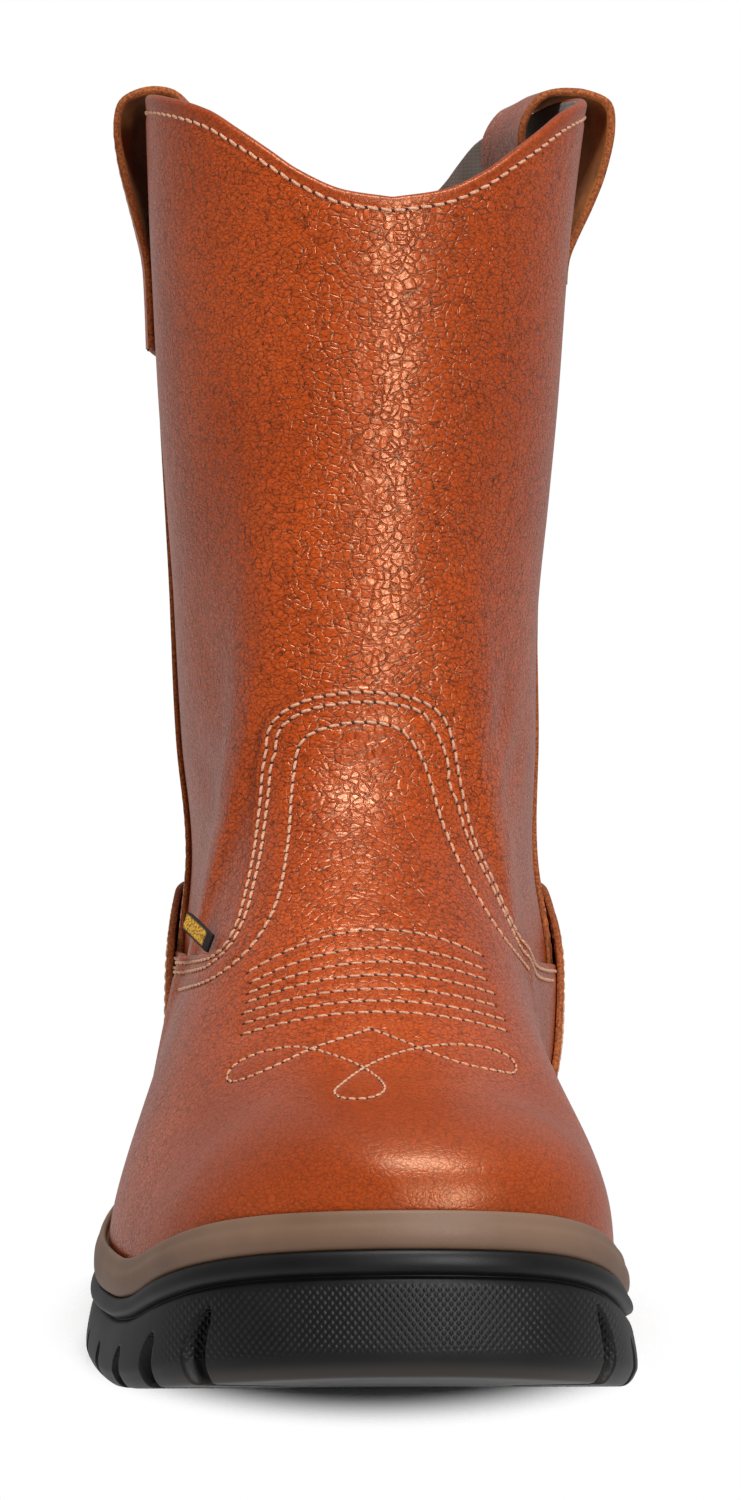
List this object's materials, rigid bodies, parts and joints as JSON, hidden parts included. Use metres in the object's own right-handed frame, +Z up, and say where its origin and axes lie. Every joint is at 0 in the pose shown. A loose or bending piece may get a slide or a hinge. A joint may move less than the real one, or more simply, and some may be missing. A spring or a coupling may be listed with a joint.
{
  "type": "work boot",
  "caption": "Pull-on leather work boot with a scalloped collar, pull straps over both ears, a stitched vamp and a lugged rubber sole with a raised toe bumper.",
  "frame": {"origin": "on the floor, under the centre of the boot's bounding box", "axes": "+X to the inner (medial) side of the right foot, -Y to the toe, +Z up"},
  "size_m": [0.12, 0.3068, 0.2747],
  "materials": {
    "leather": "pebbled full-grain, soft sheen",
    "strap_leather": "smooth outside, suede back",
    "taupe_rubber": "satin",
    "black_rubber": "matt",
    "footbed_cloth": "napped",
    "woven_tag": "woven"
  },
  "bodies": {
    "root": {"outsole": "black_rubber", "midsole": "taupe_rubber", "insole": "footbed_cloth", "upper": "leather", "vamp": "leather", "heel_counter": "leather", "pull_strap_lateral": "strap_leather", "pull_strap_medial": "strap_leather", "side_tag": "woven_tag"}
  },
  "joints": []
}
